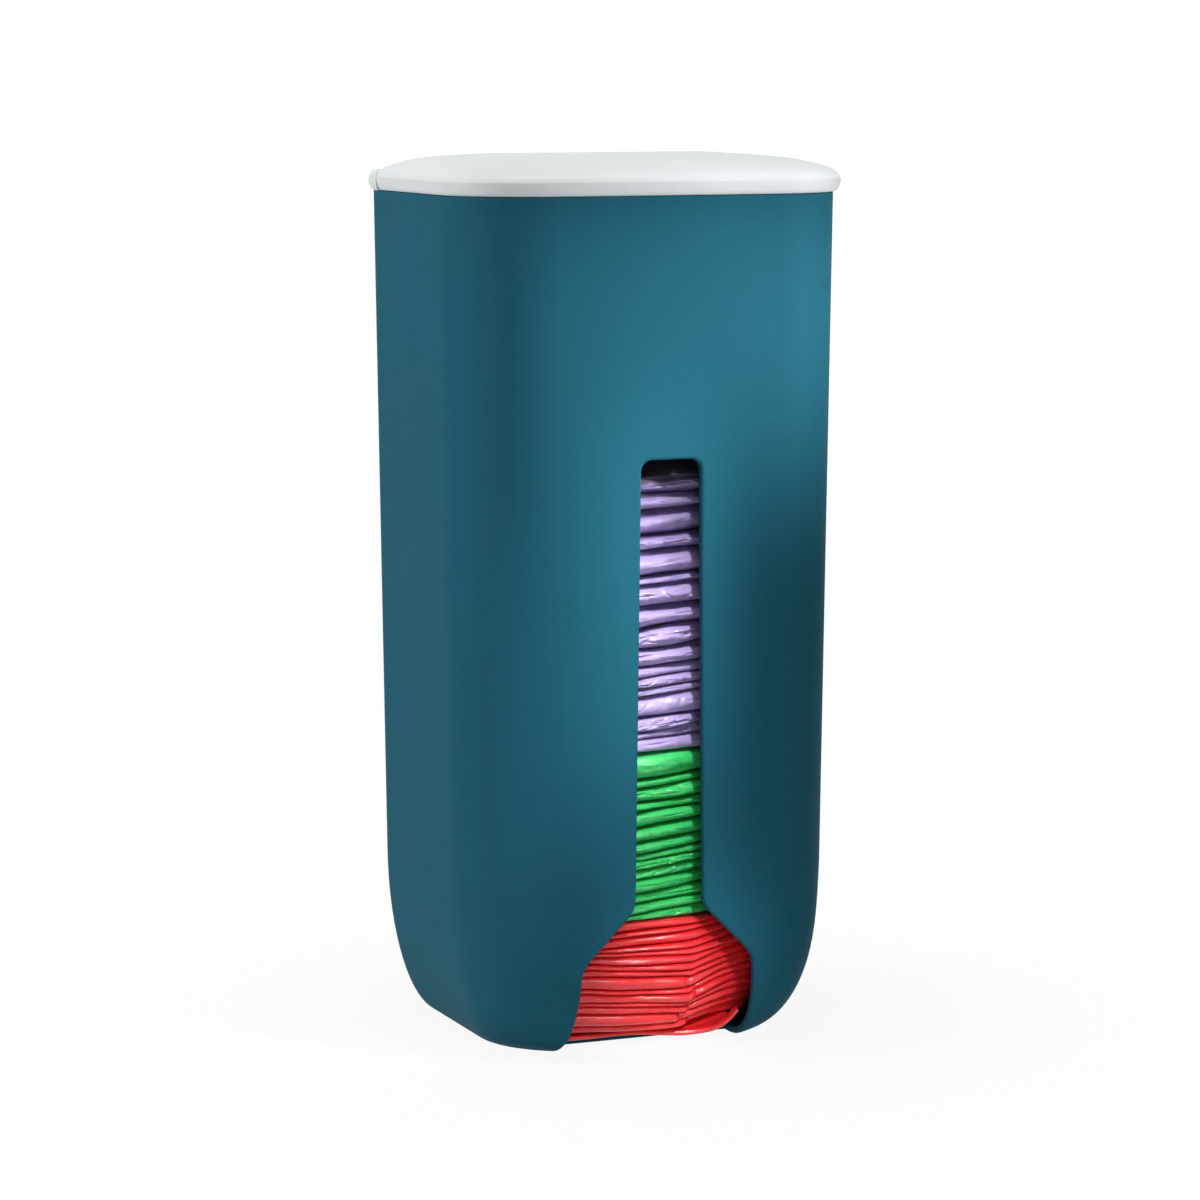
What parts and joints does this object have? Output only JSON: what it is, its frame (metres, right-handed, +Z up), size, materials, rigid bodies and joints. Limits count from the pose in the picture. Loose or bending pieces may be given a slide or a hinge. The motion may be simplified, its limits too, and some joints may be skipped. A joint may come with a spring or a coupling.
{
  "type": "bag dispenser",
  "caption": "Tall wall-hung plastic box that gives out folded bags: a finger slot flaring into a mouth in front, a hinged domed lid on top and keyholes in the flat back.",
  "frame": {"origin": "on the floor plane, in the middle of the area that the object covers", "axes": "+Z up, front with slot and mouth towards -Y, flat back towards +Y, +X to the right seen from the front"},
  "size_m": [0.113, 0.082, 0.235],
  "materials": {
    "teal_plastic": "satin",
    "pale_plastic": "satin",
    "pin_steel": "satin",
    "red_film": "gloss",
    "green_film": "gloss",
    "purple_film": "gloss"
  },
  "bodies": {
    "dispenser_body": {"body_shell": "teal_plastic", "hinge_strip": "pale_plastic", "hinge_pin": "pin_steel"},
    "lid_body": {"lid": "pale_plastic"},
    "bag_stack": {"red_bag_02": "red_film", "red_bag_03": "red_film", "red_bag_04": "red_film", "red_bag_05": "red_film", "red_bag_06": "red_film", "red_bag_07": "red_film", "red_bag_08": "red_film", "red_bag_09": "red_film", "red_bag_10": "red_film", "red_bag_11": "red_film", "red_bag_12": "red_film", "red_bag_13": "red_film", "red_bag_14": "red_film", "red_bag_15": "red_film", "red_bag_16": "red_film", "green_bag_01": "green_film", "green_bag_02": "green_film", "green_bag_03": "green_film", "green_bag_04": "green_film", "green_bag_05": "green_film", "green_bag_06": "green_film", "green_bag_07": "green_film", "green_bag_08": "green_film", "green_bag_09": "green_film", "green_bag_10": "green_film", "green_bag_11": "green_film", "green_bag_12": "green_film", "green_bag_13": "green_film", "green_bag_14": "green_film", "purple_bag_01": "purple_film", "purple_bag_02": "purple_film", "purple_bag_03": "purple_film", "purple_bag_04": "purple_film", "purple_bag_05": "purple_film", "purple_bag_06": "purple_film", "purple_bag_07": "purple_film", "purple_bag_08": "purple_film", "purple_bag_09": "purple_film", "purple_bag_10": "purple_film", "purple_bag_11": "purple_film", "purple_bag_12": "purple_film", "purple_bag_13": "purple_film", "purple_bag_14": "purple_film", "purple_bag_15": "purple_film", "purple_bag_16": "purple_film", "purple_bag_17": "purple_film"},
    "pulled_bag": {"red_bag_01": "red_film"}
  },
  "joints": [
    {"name": "lid_hinge", "type": "hinge", "parent": "dispenser_body", "child": "lid_body", "pos_m": [0, 0.03125, 0.22775], "axis": [-1, 0, 0], "range_deg": [0, 90]},
    {"name": "stack_lift", "type": "slide", "parent": "dispenser_body", "child": "bag_stack", "axis": [0, 0, 1], "range_m": [0, 0.065]},
    {"name": "bag_pull", "type": "slide", "parent": "dispenser_body", "child": "pulled_bag", "axis": [0, -1, 0], "range_m": [0, 0.06]}
  ]
}
